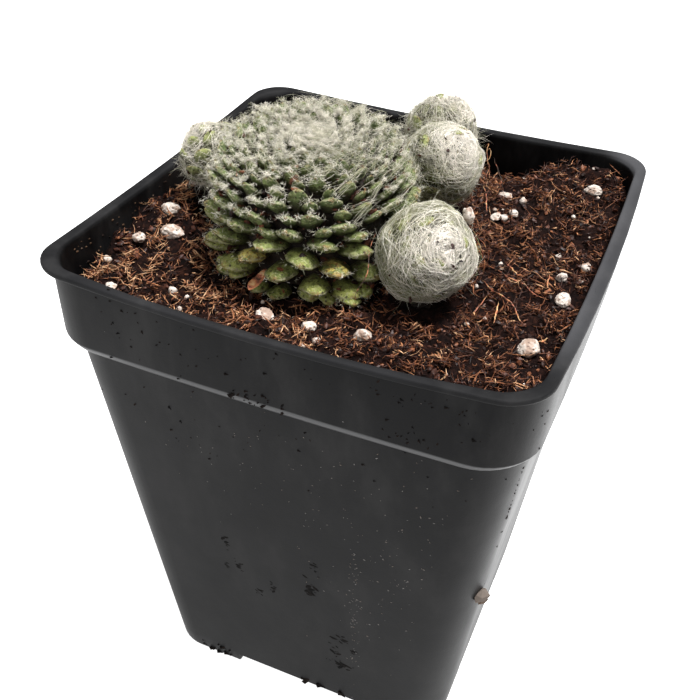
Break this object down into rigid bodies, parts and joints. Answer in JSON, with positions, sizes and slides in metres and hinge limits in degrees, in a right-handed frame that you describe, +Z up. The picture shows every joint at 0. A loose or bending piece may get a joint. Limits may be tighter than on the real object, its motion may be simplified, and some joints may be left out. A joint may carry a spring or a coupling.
{
  "type": "potted houseleek",
  "caption": "Cobweb houseleek: a low mother rosette with round woolly offsets against it, in coir compost in a deep square plastic nursery pot.",
  "frame": {"origin": "middle of the pot's foot, on the surface that it stands on", "axes": "+Z up; -Y is the pot's long side nearest the camera in the picture, +X the side to the right"},
  "size_m": [0.089, 0.089, 0.1219],
  "materials": {
    "pot_plastic": "black satin injection-moulded plastic",
    "compost": "loose reddish-brown coir compost",
    "leaf": "fleshy yellow-green leaf with white hairs at the tip",
    "woolly_leaf": "green leaves under white cobweb hair",
    "dry_leaf": "dried orange-brown leaf",
    "perlite": "pitted off-white perlite"
  },
  "bodies": {
    "root": {"pot": "pot_plastic", "soil": "compost", "mother_rosette": "leaf", "offset_front_right": "woolly_leaf", "offset_middle": "woolly_leaf", "offset_back": "woolly_leaf", "offset_left": "woolly_leaf", "withered_leaf": "dry_leaf", "perlite_01": "perlite", "perlite_02": "perlite", "perlite_03": "perlite", "perlite_04": "perlite", "perlite_05": "perlite", "perlite_06": "perlite", "perlite_07": "perlite", "perlite_08": "perlite", "perlite_09": "perlite", "perlite_10": "perlite", "perlite_11": "perlite", "perlite_12": "perlite", "perlite_13": "perlite", "perlite_14": "perlite"}
  },
  "joints": []
}
